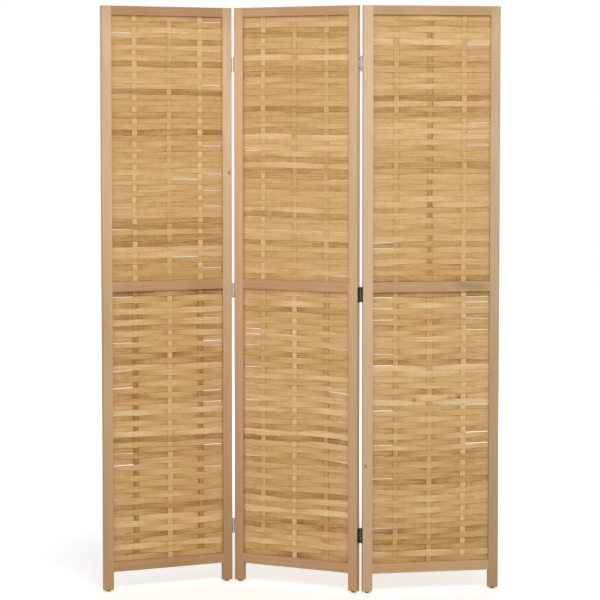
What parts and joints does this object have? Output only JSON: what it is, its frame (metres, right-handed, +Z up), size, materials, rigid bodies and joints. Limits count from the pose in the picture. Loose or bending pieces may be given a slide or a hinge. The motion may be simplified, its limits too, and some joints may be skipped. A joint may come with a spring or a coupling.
{
  "type": "folding screen",
  "caption": "Free-standing folding room divider: hinged wooden frames filled with plain-woven bamboo strips over upright slats, on short legs with glides.",
  "frame": {"origin": "on the floor, in the middle of the ground that the standing zigzag takes up", "axes": "+X to the right along the standing screen, +Y from its front to its back, +Z up"},
  "size_m": [1.1545, 0.2022, 1.7],
  "materials": {
    "frame_wood": "sanded, clear matt lacquer",
    "bamboo_strip": "split bamboo, satin",
    "bamboo_slat": "split bamboo, satin",
    "hinge_metal": "zinc-plated",
    "glide_metal": "nickel-plated"
  },
  "bodies": {
    "middle_panel": {"left_low_hinge_pin": "hinge_metal", "left_low_hinge_pin_leaf": "hinge_metal", "left_mid_hinge_pin": "hinge_metal", "left_mid_hinge_pin_leaf": "hinge_metal", "left_top_hinge_pin": "hinge_metal", "left_top_hinge_pin_leaf": "hinge_metal", "middle_panel_bottom_rail": "frame_wood", "middle_panel_glides": "glide_metal", "middle_panel_left_stile": "frame_wood", "middle_panel_lower_slats": "bamboo_slat", "middle_panel_lower_strips": "bamboo_strip", "middle_panel_middle_rail": "frame_wood", "middle_panel_right_stile": "frame_wood", "middle_panel_top_rail": "frame_wood", "middle_panel_upper_slats": "bamboo_slat", "middle_panel_upper_strips": "bamboo_strip", "right_low_hinge_pin": "hinge_metal", "right_low_hinge_pin_leaf": "hinge_metal", "right_mid_hinge_pin": "hinge_metal", "right_mid_hinge_pin_leaf": "hinge_metal", "right_top_hinge_pin": "hinge_metal", "right_top_hinge_pin_leaf": "hinge_metal"},
    "left_panel": {"left_low_hinge_free_leaf": "hinge_metal", "left_mid_hinge_free_leaf": "hinge_metal", "left_panel_bottom_rail": "frame_wood", "left_panel_glides": "glide_metal", "left_panel_left_stile": "frame_wood", "left_panel_lower_slats": "bamboo_slat", "left_panel_lower_strips": "bamboo_strip", "left_panel_middle_rail": "frame_wood", "left_panel_right_stile": "frame_wood", "left_panel_top_rail": "frame_wood", "left_panel_upper_slats": "bamboo_slat", "left_panel_upper_strips": "bamboo_strip", "left_top_hinge_free_leaf": "hinge_metal"},
    "right_panel": {"right_low_hinge_free_leaf": "hinge_metal", "right_mid_hinge_free_leaf": "hinge_metal", "right_panel_bottom_rail": "frame_wood", "right_panel_glides": "glide_metal", "right_panel_left_stile": "frame_wood", "right_panel_lower_slats": "bamboo_slat", "right_panel_lower_strips": "bamboo_strip", "right_panel_middle_rail": "frame_wood", "right_panel_right_stile": "frame_wood", "right_panel_top_rail": "frame_wood", "right_panel_upper_slats": "bamboo_slat", "right_panel_upper_strips": "bamboo_strip", "right_top_hinge_free_leaf": "hinge_metal"}
  },
  "joints": [
    {"name": "left_hinges", "type": "hinge", "parent": "middle_panel", "child": "left_panel", "pos_m": [-0.20159, 0.08496, 0.85], "axis": [0, 0, 1], "range_deg": [-52.7, 127.3]},
    {"name": "right_hinges", "type": "hinge", "parent": "middle_panel", "child": "right_panel", "pos_m": [0.17379, -0.08274, 0.85], "axis": [0, 0, 1], "range_deg": [-38.3, 141.7]}
  ]
}
